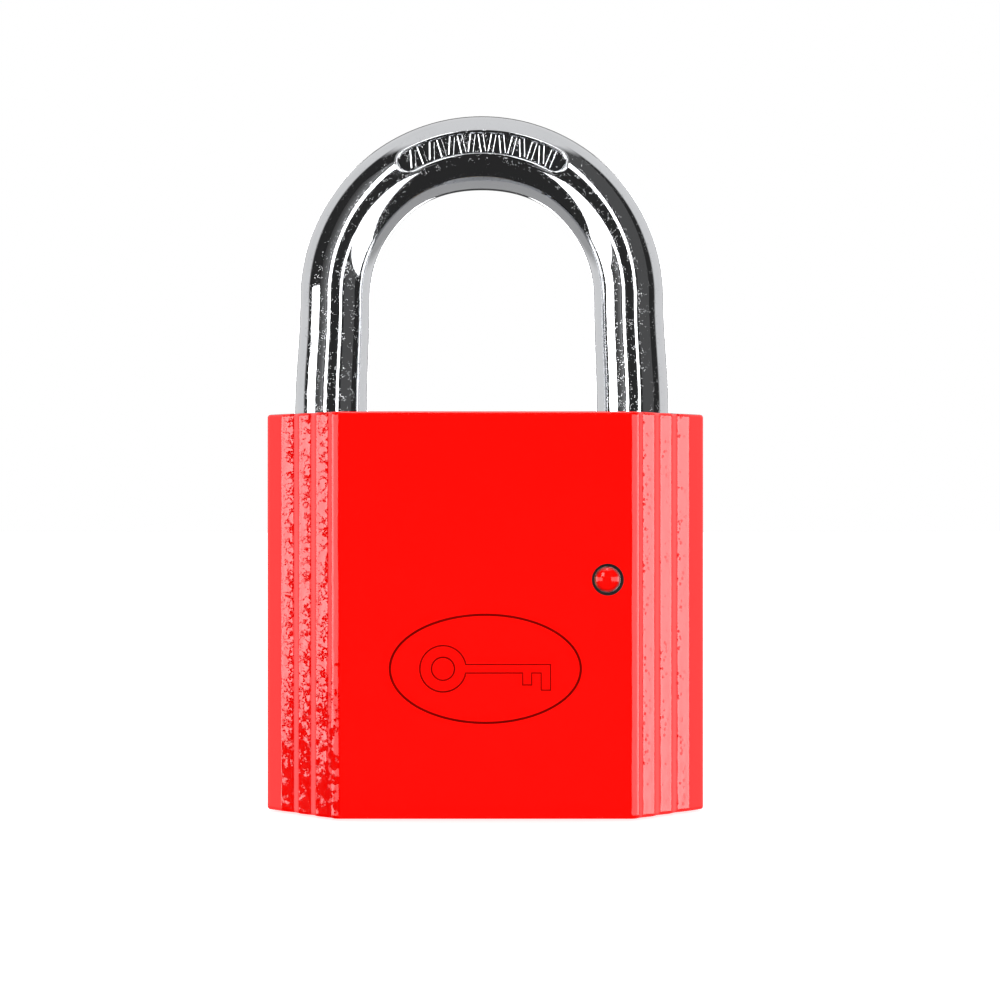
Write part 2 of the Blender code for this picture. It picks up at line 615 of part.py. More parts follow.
def main():
    for leftover in list(bpy.data.objects):
        bpy.data.objects.remove(leftover, do_unlink=True)

    make_lock_body()
    make_heel_retaining_pin()

    shackle_axis = axis_holder("shackle_lift_axis", (heel_x, 0, heel_end))
    make_shackle(shackle_axis)
    spring_foot = (heel_x, 0, BODY_FLOOR + GAP)
    coil("shackle_spring", SHACKLE_SPRING, BODY_FLOOR + GAP, heel_end - GAP, "Z", spring_foot)

    make_cylinder_housing()
    make_chamber_cover()
    make_cylinder_retaining_pin()

    plug_axis = axis_holder("plug_turn_axis", (0, 0, 0))
    make_plug(plug_axis)
    make_plug_cam(plug_axis)
    make_cam_screw(plug_axis)
    for number, (height, length) in enumerate(zip(chamber_heights, KEY_PIN_LENGTHS), 1):
        make_pin_stack(number, height, length, plug_axis)

    latch_axis = axis_holder("latch_slide_axis", (latch_nose, 0, latch_middle))
    make_latch_bolt(latch_axis)
    spring_foot = (pocket_end - GAP, 0, latch_middle)
    coil("latch_spring", LATCH_SPRING, pocket_end - GAP, latch_tail + GAP, "X", spring_foot)
    bpy.context.view_layer.update()


main()
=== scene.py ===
"""Padlock: a ribbed red casting with a chromed shackle, dressed and lit as a studio piece."""

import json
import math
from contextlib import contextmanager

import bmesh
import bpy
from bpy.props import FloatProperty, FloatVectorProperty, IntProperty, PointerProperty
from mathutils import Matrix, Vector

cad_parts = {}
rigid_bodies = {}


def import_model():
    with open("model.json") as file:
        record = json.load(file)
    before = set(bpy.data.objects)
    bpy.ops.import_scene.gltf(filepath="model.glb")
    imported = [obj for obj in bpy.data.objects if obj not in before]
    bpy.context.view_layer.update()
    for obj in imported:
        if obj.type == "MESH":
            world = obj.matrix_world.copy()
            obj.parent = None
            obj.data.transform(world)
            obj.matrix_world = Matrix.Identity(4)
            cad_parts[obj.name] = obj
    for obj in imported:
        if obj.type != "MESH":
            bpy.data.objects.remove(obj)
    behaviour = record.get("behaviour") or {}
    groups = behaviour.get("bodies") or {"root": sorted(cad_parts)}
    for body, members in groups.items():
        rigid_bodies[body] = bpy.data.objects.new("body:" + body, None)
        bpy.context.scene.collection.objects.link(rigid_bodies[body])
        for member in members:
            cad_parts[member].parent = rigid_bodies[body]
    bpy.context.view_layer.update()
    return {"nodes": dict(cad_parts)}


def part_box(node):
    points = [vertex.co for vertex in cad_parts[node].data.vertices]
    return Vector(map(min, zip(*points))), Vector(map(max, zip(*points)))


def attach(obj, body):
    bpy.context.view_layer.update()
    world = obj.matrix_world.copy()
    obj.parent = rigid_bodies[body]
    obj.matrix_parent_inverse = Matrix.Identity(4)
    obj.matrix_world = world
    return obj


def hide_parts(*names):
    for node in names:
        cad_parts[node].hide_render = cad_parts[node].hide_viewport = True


bl_info = {
    "name": "Ribbed padlock",
    "version": (1, 0, 0),
    "blender": (4, 5, 0),
    "location": "View3D > Sidebar > Padlock",
    "description": "Builds the finished surfaces of a ribbed padlock round its working model",
    "category": "Object",
}

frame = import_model()

MM = 0.001
EXTRA = 1.0                 # how far a cutting shape stands out of what it cuts, in mm
TINY = 1e-4                 # a length in mm that counts as nothing

# Sizes of the working model that its boxes don't give, in mm
HEEL_BORE_FLOOR = 3.0       # above the base
TOE_BORE_DEPTH = 12.6
TOE_GAP = 0.6               # under the toe
SIDE_SPARE = 0.8            # depth that the ribs leave for the side's flat strip
COLLAR_LENGTH = 2.6         # full-round end of the heel, below the neck
NECK_RADIUS = 1.55
NECK_LENGTH = 3.5
HEEL_PIN_RADIUS = 1.45
FLAT_MARGIN = 1.0           # heel's flat beyond the retaining pin
LATCH_TRAVEL = 3.2
END_CHAMFER = 0.7           # on both ends of the shackle


def node_box(node):
    """The lowest and highest corners of a working node, in millimetres."""
    return [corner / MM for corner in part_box(node)]


body_low, body_high = node_box("lock_body")
shackle_low, shackle_high = node_box("shackle")
housing_low, housing_high = node_box("cylinder_housing")
heel_pin_low, heel_pin_high = node_box("heel_retaining_pin")
cross_pin_low, cross_pin_high = node_box("cylinder_retaining_pin")
latch_low, latch_high = node_box("latch_bolt")
latch_spring_low, latch_spring_high = node_box("latch_spring")
heel_pin_centre = (heel_pin_low + heel_pin_high) / 2
cross_pin_centre = (cross_pin_low + cross_pin_high) / 2
toe_bore_floor = body_high.z - TOE_BORE_DEPTH


# ---- sizes and colours that a user can change --------------------------------------

def length(label, text, value):
    """A length in millimetres."""
    return FloatProperty(name=label, description=text, default=value, min=0.0, precision=2)


def colour(label, text, value):
    """A colour, as linear red, green and blue."""
    return FloatVectorProperty(name=label, description=text, default=value, subtype="COLOR",
                               size=3, min=0.0, max=1.0)


class CastingSettings(bpy.types.PropertyGroup):
    flat_half: length("Front flat", "Half the width of the flat front, in mm", 16.9)
    rib_face: length("Rib face", "Width and depth of a rib's sloping face, in mm", 1.5)
    riser_out: length("Riser lean", "How far a riser leans outwards, in mm", 0.6)
    side_face: length("Side face", "Width and depth of the last face, in mm", 1.8)
    side_flat: length("Side flat", "Half the depth of the flat strip on the side, in mm", 0.3)
    rib_count: IntProperty(name="Ribs", description="Ribs at each corner", default=3, min=1, max=6)
    front_edge: length("Front edge", "Rounding of the front's upright edges, in mm", 0.8)
    rib_edge: length("Rib edge", "Rounding of the ribs, in mm", 0.16)
    rim_edge: length("Rim", "Rounding round the top and the base, in mm", 0.35)
    roughness: length("Cast roughness", "Height of the cast texture on the ribs, in mm", 0.95)
    clearance: length("Clearance", "Gap round the moving pieces, in mm", 0.3)
    oval_width: length("Oval width", "Half the oval's width, in mm", 10.8)
    oval_height: length("Oval height", "Half the oval's height, in mm", 6.2)
    oval_up: length("Oval place", "Centre of the oval above the base, in mm", 16.7)
    engraving: length("Engraving", "Depth of the key sign, in mm", 0.16)
    stroke: length("Stroke", "Radius of the engraved lines, in mm", 0.15)
    paint: colour("Paint", "Colour of the gloss paint", (0.86, 0.0022, 0.001))
    # The iron is kept very dark, partly its own colour and partly painted shade in the bores
    iron: colour("Iron", "Colour of the machined iron", (0.045, 0.04, 0.038))


class ShackleSettings(bpy.types.PropertyGroup):
    bar_radius: length("Bar radius", "Radius of the round bar, in mm", 4.2)
    leg_lean: length("Leg lean", "How far each leg closes in above the casting, in mm", 0.46)
    settle: length("Settle", "How far the bow sits below its working model, in mm", 0.1)
    bow_draw: FloatProperty(name="Drawn bow", default=0.036, min=0.0, max=0.2,
                            description="Share that bending draws the bar thinner in the bow")
    crown_swell: length("Crown swell", "How far stamping spreads the crown inwards, in mm", 0.17)
    panel_angle: FloatProperty(name="Panel angle", default=math.radians(28.6), subtype="ANGLE",
                               description="Reach of the crown's panel to either side")
    panel_half: length("Panel width", "Half the width of the crown's panel, in mm", 1.35)
    panel_shift: length("Panel shift", "Panel's middle line outside the bar's middle, in mm", 0.55)
    panel_floor: length("Panel floor", "From the bar's middle to the panel's floor, in mm", 3.72)
    ridge: length("Ridge", "Radius of the panel's raised rim, in mm", 0.24)
    bar_count: IntProperty(name="Raised bars", description="Slanted bars on the panel", default=15)
    chrome: colour("Chrome", "Colour of the chrome plate", (0.70, 0.71, 0.73))


class CylinderSettings(bpy.types.PropertyGroup):
    brass: colour("Brass", "Colour of the brass", (0.74, 0.50, 0.20))
    steel: colour("Steel", "Colour of the bright steel", (0.52, 0.53, 0.55))
    spring: colour("Spring steel", "Colour of the spring wire", (0.30, 0.31, 0.33))


class StageSettings(bpy.types.PropertyGroup):
    distance: length("Camera distance", "From the front face to the camera, in mm", 316.05)
    height: length("Camera height", "Above the floor, in mm", 33.5)
    lens: FloatProperty(name="Lens", description="Focal length", default=102.49, unit="CAMERA")
    aside: FloatProperty(name="Shift", description="Sideways shift of the view", default=0.01466)
    upward: FloatProperty(name="Rise", description="Upward shift of the view", default=0.0175)


# ---- modelling helpers ---------------------------------------------------------------

def pick(*pieces):
    """Select these objects alone, the last one active."""
    bpy.ops.object.select_all(action="DESELECT")
    for piece in pieces:
        piece.select_set(True)
    bpy.context.view_layer.objects.active = pieces[-1]


def started(name):
    """Name the object that an operator has just added."""
    piece = bpy.context.view_layer.objects.active
    piece.name = piece.data.name = name
    return piece


def settled(piece):
    """Write an object's place, turn and scale into its mesh."""
    pick(piece)
    bpy.ops.object.transform_apply(location=True, rotation=True, scale=True)
    return piece


@contextmanager
def shaping(piece, kind="FACE"):
    """Edit a piece, with nothing selected to begin with."""
    pick(piece)
    bpy.ops.object.mode_set(mode="EDIT")
    bpy.ops.mesh.select_mode(type=kind)
    bpy.ops.mesh.select_all(action="DESELECT")
    yield
    bpy.ops.object.mode_set(mode="OBJECT")


def weld(threshold):
    """Merge the vertices of the piece being edited, and turn its faces outwards."""
    bpy.ops.mesh.select_all(action="SELECT")
    bpy.ops.mesh.remove_doubles(threshold=threshold)
    bpy.ops.mesh.normals_make_consistent(inside=False)


def choose(piece, kind, test):
    """Select, in edit mode, only the vertices, edges or faces that pass the test."""
    shape = bmesh.from_edit_mesh(piece.data)
    for item in (*shape.faces, *shape.edges, *shape.verts):
        item.select = False
    for item in list(getattr(shape, kind)):
        if test(item):
            item.select_set(True)
    shape.select_flush_mode()
    bmesh.update_edit_mesh(piece.data)


def middle(edge):
    return (edge.verts[0].co + edge.verts[1].co) / 2


def upright(edge):
    """Whether an edge runs along Z."""
    run = edge.verts[1].co - edge.verts[0].co
    return abs(run.z) > 0.99 * run.length


def level(edge):
    """Whether both ends of an edge are at the same height."""
    return abs(edge.verts[0].co.z - edge.verts[1].co.z) < TINY


def modified(piece, kind, **settings):
    """Add one modifier and apply it."""
    pick(piece)
    step = piece.modifiers.new(kind.title(), kind)
    for setting, value in settings.items():
        setattr(step, setting, value)
    bpy.ops.object.modifier_apply(modifier=step.name)


def joined(piece, tool, operation="DIFFERENCE", solver="MANIFOLD"):
    """Cut a piece with a tool, or join it on, and throw the tool away."""
    modified(piece, "BOOLEAN", operation=operation, object=tool, solver=solver)
    bpy.data.objects.remove(tool)


def outlined(name, points, low, high):
    """An upright prism, drawn corner by corner from one point and raised from low to high."""
    bpy.ops.mesh.primitive_plane_add(size=1.0, location=(0, 0, 0))
    piece = started(name)
    with shaping(piece, "VERT"):
        bpy.ops.mesh.select_all(action="SELECT")
        bpy.ops.mesh.merge(type="CENTER")
        bpy.ops.transform.translate(value=(points[0][0], points[0][1], low))
        for (x, y), (next_x, next_y) in zip(points, points[1:]):
            bpy.ops.mesh.extrude_region_move(
                TRANSFORM_OT_translate={"value": (next_x - x, next_y - y, 0.0)})
        bpy.ops.mesh.select_all(action="SELECT")
        bpy.ops.mesh.edge_face_add()
        bpy.ops.mesh.extrude_region_move(TRANSFORM_OT_translate={"value": (0, 0, high - low)})
        bpy.ops.mesh.select_all(action="SELECT")
        bpy.ops.mesh.normals_make_consistent(inside=False)
    return piece


def stood_up(piece):
    """Turn a prism that was drawn flat, so that its height points to the front."""
    piece.rotation_euler = (math.pi / 2, 0, 0)
    return settled(piece)


def block(name, low, high):
    """A block between two corners."""
    low, high = Vector(low), Vector(high)
    bpy.ops.mesh.primitive_cube_add(size=1.0, location=(low + high) / 2)
    piece = started(name)
    bpy.ops.transform.resize(value=high - low)
    return settled(piece)


def rod(name, radius, low, high, centre, sides=64, axis="Z"):
    """A cylinder along an axis."""
    turn = {"Z": (0, 0, 0), "X": (0, math.pi / 2, 0), "Y": (math.pi / 2, 0, 0)}[axis]
    place = Vector(centre)
    place["XYZ".index(axis)] = (low + high) / 2
    bpy.ops.mesh.primitive_cylinder_add(vertices=sides, radius=radius, depth=high - low,
                                        location=place, rotation=turn)
    return settled(started(name))


def mouth(name, radius, centre_x, flare=0.3):
    """A cone that chamfers the mouth of a bore in the casting's top."""
    bpy.ops.mesh.primitive_cone_add(vertices=64, radius1=radius - flare, radius2=radius + flare,
                                    depth=2 * flare, location=(centre_x, 0, body_high.z))
    return settled(started(name))


def oval(wide, tall, centre, steps):
    """Points (x, z) round an upright oval, from its half width and half height."""
    return [(centre[0] + wide * math.cos(math.tau * i / steps),
             centre[1] + tall * math.sin(math.tau * i / steps)) for i in range(steps)]


def stroke(name, points, thick):
    """A round line through points, closed on itself."""
    bpy.ops.curve.primitive_nurbs_path_add(location=(0, 0, 0))
    line = started(name)
    line.data.splines.clear()
    spline = line.data.splines.new("POLY")
    spline.points.add(len(points) - 1)
    for point, place in zip(spline.points, points):
        point.co = (*place, 1.0)
    spline.use_cyclic_u = True
    line.data.dimensions, line.data.bevel_depth = "3D", thick
    line.data.bevel_resolution, line.data.use_fill_caps = 3, False
    pick(line)
    bpy.ops.object.convert(target="MESH")
    with shaping(line, "VERT"):
        weld(TINY)
    return line


def painted(piece, finish):
    """Give a whole piece one finish."""
    piece.data.materials.clear()
    piece.data.materials.append(finish)
    return piece


def completed(piece, body, slot, *nodes, angle=35.0):
    """Bring a piece from millimetres to its real size, smooth it and let it ride."""
    piece.scale = (MM, MM, MM)
    settled(piece)
    with shaping(piece, "VERT"):
        weld(TINY * MM)
    bpy.ops.object.shade_smooth_by_angle(angle=math.radians(angle))
    modified(piece, "WEIGHTED_NORMAL", keep_sharp=True, weight=100)
    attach(piece, body)
    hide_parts(*nodes)
    return piece


# ---- finishes ------------------------------------------------------------------------

class Socket:
    """A shader socket that takes part in sums; each sign adds a Math node."""

    def __init__(self, finish, output):
        self.finish, self.output = finish, output

    def sum(self, operation, first, second=0.0):
        return self.finish.node("ShaderNodeMath", {"operation": operation}, {0: first, 1: second})

    def __add__(self, other): return self.sum("ADD", self, other)
    def __radd__(self, other): return self.sum("ADD", other, self)
    def __sub__(self, other): return self.sum("SUBTRACT", self, other)
    def __rsub__(self, other): return self.sum("SUBTRACT", other, self)
    def __mul__(self, other): return self.sum("MULTIPLY", self, other)
    def __rmul__(self, other): return self.sum("MULTIPLY", other, self)
    def __truediv__(self, other): return self.sum("DIVIDE", self, other)
    def __pow__(self, other): return self.sum("POWER", self, other)
    def __gt__(self, other): return self.sum("GREATER_THAN", self, other)
    def __lt__(self, other): return self.sum("LESS_THAN", self, other)
    def __abs__(self): return self.sum("ABSOLUTE", self)
    def max(self, other): return self.sum("MAXIMUM", self, other)
    def min(self, other): return self.sum("MINIMUM", self, other)
    def fraction(self): return self.sum("FRACT", self)

    def waves(self, spacing):
        """A sine of this length in metres, with so many millimetres from crest to crest."""
        return self.sum("SINE", self * (2 * math.pi / (spacing * MM)))

    def between(self, low, high, smooth=True):
        """0 below low, 1 above high, and an even change between them."""
        return self.finish.node(
            "ShaderNodeMapRange", {"interpolation_type": "SMOOTHSTEP" if smooth else "LINEAR"},
            {"Value": self, "From Min": low, "From Max": high})


class Finish:
    """A material, or the world, whose nodes are added by name."""

    def __init__(self, owner):
        owner.use_nodes = True
        self.owner, self.tree = owner, owner.node_tree

    def node(self, kind, settings=None, values=None, output=0):
        """Add a node, with its own settings and with values or sockets on its inputs."""
        made = self.tree.nodes.new(kind)
        for setting, value in (settings or {}).items():
            setattr(made, setting, value)
        for name, value in (values or {}).items():
            self.feed(made.inputs[name], value)
        return Socket(self, made.outputs[output])

    def feed(self, socket, value):
        """Link a socket to an input, or set the input's constant."""
        if isinstance(value, Socket):
            self.tree.links.new(value.output, socket)
        elif socket.type == "RGBA" and len(value) == 3:
            socket.default_value = (*value, 1.0)
        else:
            socket.default_value = value

    def dress(self, **values):
        """Feed the Principled shader's sockets, named with underscores for spaces."""
        shader = self.tree.nodes["Principled BSDF"]
        for socket, value in values.items():
            self.feed(shader.inputs[socket.replace("_", " ")], value)
        return self.owner

    def place(self):
        """Object coordinates in metres."""
        return self.node("ShaderNodeTexCoord", output=3)

    def stretched(self, upward):
        """Object coordinates with the height multiplied."""
        return self.node("ShaderNodeMapping", values={
            "Vector": self.place(), "Scale": (1.0, 1.0, upward)})

    def parts(self, vector):
        """The three parts of a vector."""
        split = self.node("ShaderNodeSeparateXYZ", values={0: vector}).output.node
        return [Socket(self, output) for output in split.outputs]

    def noise(self, size, detail=3.0, roughness=0.55, at=None):
        """Soft noise, from 0 to 1, whose lumps are about so many millimetres across."""
        return self.node("ShaderNodeTexNoise", values={
            "Vector": at or self.place(), "Scale": 1.0 / (size * MM), "Detail": detail,
            "Roughness": roughness})

    def cells(self, size):
        """Distance from the middle of the nearest cell, 0 at its middle."""
        return self.node("ShaderNodeTexVoronoi", values={
            "Vector": self.place(), "Scale": 1.0 / (size * MM)})

    def mix(self, factor, first, second):
        """A blend of two colours."""
        made = self.tree.nodes.new("ShaderNodeMix")
        made.data_type = "RGBA"
        for socket, value in ((0, factor), (6, first), (7, second)):
            self.feed(made.inputs[socket], value)
        return Socket(self, made.outputs[2])

    def bump(self, height, depth, under=None):
        """A normal from a height between 0 and 1; depth is in millimetres."""
        values = {"Height": height, "Distance": depth * MM, "Strength": 1.0}
        if under is not None:
            values["Normal"] = under
        return self.node("ShaderNodeBump", values=values)


def finish_called(name, **values):
    """A new Principled material with fixed values on its own sockets."""
    finish = Finish(bpy.data.materials.new(name))
    finish.dress(**values)
    return finish


def shaded(shade, share):
    """A colour at a share of its brightness."""
    return tuple(min(1.0, value * share) for value in shade)


def gloss_paint(name, shade, engraved=False):
    """Thick red gloss over a sand casting; the gloss breaks up in cracks and pits on the ribs,
    whose colour is also darkened there as painted shade.
    """
    finish = finish_called(name, Coat_Weight=0.0, Coat_Roughness=0.05, Coat_IOR=1.5,
                           Specular_IOR_Level=0.0)
    x, _, z = finish.parts(finish.place())
    settings = bpy.context.scene.padlock_casting
    pitch = settings.rib_face + settings.riser_out
    strip_half = 0.8                # of the strips beside the front's two edges, in mm

    # Where the gloss can break: on the ribs' faces and beside the front's edges
    rib = (abs(x) - (settings.flat_half + settings.riser_out) * MM) / (pitch * MM)
    across = rib.fraction() / (settings.rib_face / pitch)
    face = (across < 1.0) * (rib > 0.0) * (rib < float(settings.rib_count))
    strip = 1.0 - (abs(abs(x) - settings.flat_half * MM) * (1 / (strip_half * MM))).min(1.0)
    left = x < 0.0
    inner = (1.0 - 1.15 * across).max(0.0)
    low = 1.0 - z.between(4 * MM, 28 * MM, smooth=False)
    base_end = 1.0 - z.between(0.0, 22 * MM, smooth=False)

    # Cracks along the middle value of a noise, blotches at the base, and round pits
    flat = finish.stretched(1.5)
    crack_half = 0.005 + 0.055 * inner + 0.018 * low
    lines = abs(finish.noise(1.7, 4.0, 0.62, at=flat) - 0.5) / crack_half
    cracks = (1.0 - lines.between(0.75, 1.0)) * face
    spread = 0.70 - 0.29 * base_end
    blotches = (finish.noise(1.25, 4.0, 0.6, at=flat) - spread).between(-0.008, 0.012)
    pits = (0.36 - finish.cells(0.62)).between(0.0, 0.06)
    pits = pits * (finish.noise(2.4, 1.0) > 0.48) * inner * face
    broken_gloss_and_shade = left * cracks.max(blotches * face.max(strip > 0.05)) + (1.0 - left) * pits

    normal = finish.bump(0.0 - broken_gloss_and_shade, 0.10, finish.bump(finish.noise(2.2, 1.0), 0.04))
    mottle = finish.noise(5.0, 3.0).between(0.4, 0.7)
    base = finish.mix(mottle, shade, shaded(shade, 1.05))
    # Cracks, pits and blotches are painted a darker red: painted shade in the breaks of the gloss
    base = finish.mix(broken_gloss_and_shade * 0.75, base, shaded(shade, 0.62))
    # In grooves and holes the red is painted near black: painted shade in the recesses
    if engraved:
        base = finish.mix(0.8 + 0.2 * finish.noise(1.5), base, (0.09, 0.002, 0.001))
    else:
        finish.dress(Coat_Weight=1.0 - 0.97 * broken_gloss_and_shade)
    return finish.dress(Base_Color=base, Roughness=0.26 + 0.12 * finish.noise(1.8, 3.0),
                        Normal=normal)


def chrome_plate(shade):
    """Bright plate over ground bar, with fine pits and specks."""
    finish = finish_called("Chrome plate", Metallic=1.0)
    patches = finish.noise(0.7, 2.0).between(0.44, 0.60)
    specks = (0.30 - finish.cells(0.17)).max(0.0) * 3.3 * patches
    faint = finish.noise(6.0, 2.0).between(0.35, 0.75)
    grain = finish.noise(0.25, 2.0, at=finish.stretched(0.12))
    base = finish.mix(specks.min(1.0) * 0.35, shade, shaded(shade, 0.45))
    base = finish.mix(faint * 0.25, base, shaded(shade, 0.86))
    normal = finish.bump(grain, 0.0012)
    normal = finish.bump(0.0 - specks, 0.009, normal)
    normal = finish.bump(finish.noise(9.0, 1.0), 0.008, normal)
    return finish.dress(Base_Color=base, Roughness=0.035 + 0.05 * faint + 0.05 * specks,
                        Normal=normal)


def turned_metal(name, shade, spacing, axis="Z", dull=0.28):
    """Metal with fine turning marks round an axis, so many millimetres apart, and light stains."""
    finish = finish_called(name, Metallic=1.0)
    x, y, z = finish.parts(finish.place())
    first, second = {"Z": (x, y), "Y": (x, z), "X": (y, z)}[axis]
    marks = ((first * first + second * second) ** 0.5).waves(spacing)
    uneven = finish.noise(0.5, 3.0)
    worn = finish.noise(3.0, 4.0, 0.65).between(0.4, 0.75)
    normal = finish.bump(0.5 + 0.5 * marks * uneven, 0.004)
    return finish.dress(Base_Color=finish.mix(worn * 0.3, shade, shaded(shade, 0.45)),
                        Roughness=dull + 0.2 * worn + 0.06 * uneven,
                        Normal=finish.bump(finish.noise(0.8, 3.0), 0.006, normal))


def dark_iron(name, shade):
    """Bored iron, dulled by oil, with faint tool marks; very dark and matt, partly as painted shade
    for the depths of the bores.
    """
    finish = finish_called(name, Specular_IOR_Level=0.12)
    marks = finish.parts(finish.place())[2].waves(0.35)
    oily = finish.noise(2.0, 4.0, 0.65).between(0.35, 0.7)
    return finish.dress(Base_Color=finish.mix(oily, shade, shaded(shade, 0.5)),
                        Roughness=0.6 + 0.25 * oily,
                        Normal=finish.bump(0.5 + 0.5 * marks * finish.noise(0.6), 0.01))


def studio_white():
    """Pale matt sweep that glows a little, so that it stays white."""
    finish = finish_called("Studio white", Roughness=0.9, Specular_IOR_Level=0.0)
    tone = finish.mix(finish.noise(400.0, 2.0), (0.93, 0.93, 0.93), (0.95, 0.95, 0.95))
    return finish.dress(Base_Color=tone, Emission_Color=(1.0, 1.0, 1.0), Emission_Strength=0.8)


# ---- casting -------------------------------------------------------------------------

def rib_corner(settings):
    """Points of one corner of the casting's outline, from the front flat to the side."""
    back_per_rib = (body_high.y - SIDE_SPARE - settings.side_face) / settings.rib_count
    x, y = settings.flat_half, body_high.y
    points = [(x, y)]
    for rib in range(settings.rib_count):
        x, y = x + settings.riser_out, y - (back_per_rib - settings.rib_face)
        points.append((x, y))
        x, y = x + settings.rib_face, y - settings.rib_face
        points.append((x, y))
    return points + [(body_high.x, settings.side_flat)]


def divided(casting, settings):
    """Round the upright edges and the two rims, and cut the faces finely enough to be shaped."""
    flat = settings.flat_half
    upright_cuts = 140
    level_cuts = ((20.0, 60), (1.2, 5), (0.5, 1))       # shortest length in mm, and cuts
    with shaping(casting, "EDGE"):
        choose(casting, "edges", lambda e: upright(e) and abs(abs(middle(e).x) - flat) < 0.01)
        bpy.ops.mesh.bevel(offset=settings.front_edge, segments=8, affect="EDGES")
        choose(casting, "edges", lambda e: upright(e) and abs(middle(e).x) > flat + 0.45)
        bpy.ops.mesh.bevel(offset=settings.rib_edge, segments=2, affect="EDGES")
        choose(casting, "edges", upright)
        bpy.ops.mesh.subdivide(number_cuts=upright_cuts)
        for size, cuts in level_cuts:
            choose(casting, "edges", lambda e: level(e) and (
                size < (e.verts[0].co - e.verts[1].co).xy.length < 2 * size + 10))
            bpy.ops.mesh.subdivide(number_cuts=cuts)
        choose(casting, "edges", lambda e: level(e) and (
            abs(middle(e).z) < TINY or abs(middle(e).z - body_high.z) < TINY)
            and len({round(f.normal.z, 2) for f in e.link_faces}) == 2)
        bpy.ops.mesh.bevel(offset=settings.rim_edge, segments=3, affect="EDGES")


def clipped(value):
    """A value held between 0 and 1."""
    return min(1.0, max(0.0, value))


def roughened(casting, settings):
    """Give the ribs their cast texture, roughest at the base on the left, and the flats a sag."""
    flat, first_rib = settings.flat_half, settings.flat_half + settings.riser_out
    pitch = settings.rib_face + settings.riser_out
    rim_room, fade = 0.3, 0.8           # above the rim that stays smooth, in mm
    right_share = 0.2                   # the right ribs' roughness, against the left ones'
    low_end = 32.0                      # height at which the base's roughness ends, in mm
    rough = casting.vertex_groups.new(name="rough")
    flatness = casting.vertex_groups.new(name="flat")
    for vertex in casting.data.vertices:
        x, y, z = vertex.co
        inside = clipped(min(z - rim_room, body_high.z - rim_room - z) / fade)
        along = ((abs(x) - flat - settings.riser_out) % pitch) / settings.rib_face
        face = clipped(min(along - 0.02, 0.98 - along) * 6)
        face *= first_rib < abs(x) < flat + pitch * settings.rib_count
        strip = max(0.0, 1 - abs(abs(x) - flat) / 0.7)
        side = 1.0 if x < 0 else right_share
        low = max(0.0, 1 - z / low_end)
        weight = inside * side * (face * (0.10 + 0.40 * low ** 2) + strip * 0.3 * low)
        rough.add([vertex.index], weight, "REPLACE")
        flatness.add([vertex.index], inside * (abs(x) < flat - 0.5), "REPLACE")
    tall = settings.roughness
    for name, size, depth, strength, mid_level, group in (
            ("Cast lumps", 0.9, 3, tall, 0.62, "rough"),
            ("Sand grain", 0.4, 2, tall * 0.45, 0.55, "rough"),
            ("Paint sag", 9.0, 1, 0.05, 0.6, "flat")):
        texture = bpy.data.textures.new(name, "CLOUDS")
        texture.noise_scale, texture.noise_depth = size, depth
        modified(casting, "DISPLACE", texture=texture, strength=strength, mid_level=mid_level,
                 vertex_group=group, texture_coords="LOCAL")


def keyhole(radius, half, reach, sides=72):
    """A round bore with a straight slot on its -X side."""
    start = math.asin(half / radius)
    turn = 2 * math.pi - 2 * start
    points = [(-radius * math.cos(start + turn * i / sides),
               radius * math.sin(start + turn * i / sides)) for i in range(sides + 1)]
    return points + [(-reach, -half), (-reach, half)]


def bores(settings, bar, iron, paint, groove_shade_paint):
    """The tools that cut every bore, each painted as the bore's wall."""
    gap = settings.clearance
    bore = bar + gap
    heel_x, toe_x = shackle_high.x - bar, shackle_low.x + bar
    hump_half = (latch_high.y - latch_low.y) / 2        # the hump is as wide as the latch
    spring_half = (latch_spring_high.z - latch_spring_low.z) / 2
    pocket_overlap = 0.7                                # of the spring's pocket and the cavity
    pin_radius = (heel_pin_high.x - heel_pin_low.x) / 2
    cross_pin_radius = (cross_pin_high.x - cross_pin_low.x) / 2
    top, front, back = body_high.z + EXTRA, body_low.y - EXTRA, body_high.y + EXTRA
    section = keyhole(housing_high.x + gap, hump_half + gap, -housing_low.x + gap)
    cavity = outlined("cavity", section, -EXTRA, latch_high.z + gap)
    return [painted(tool, look) for tool, look in (
        (cavity, iron),
        (rod("heel_bore", bore, HEEL_BORE_FLOOR, top, (heel_x, 0, 0), 96), iron),
        (rod("toe_bore", bore, toe_bore_floor, top, (toe_x, 0, 0), 96), iron),
        (rod("spring_pocket", spring_half + gap, housing_high.x - pocket_overlap,
             latch_spring_high.x + gap, (0, 0, (latch_low.z + latch_high.z) / 2), 32, "X"), iron),
        (mouth("heel_mouth", bore, heel_x), paint),
        (mouth("toe_mouth", bore, toe_x), paint),
        # The pin holes take the near-black red: painted shade inside them
        (rod("heel_pin_hole", pin_radius + 0.03, front, heel_pin_high.y + gap,
             heel_pin_centre, 64, "Y"), groove_shade_paint),
        # The wider mouth round the pin is walled in dark iron: a painted shade ring round the pin's
        # head
        (rod("heel_pin_mouth", pin_radius + gap * 1.1, front, body_low.y + 1.1,
             heel_pin_centre, 64, "Y"), iron),
        (rod("cross_pin_hole", cross_pin_radius + gap, cross_pin_low.y - gap, back,
             cross_pin_centre, 48, "Y"), groove_shade_paint))]


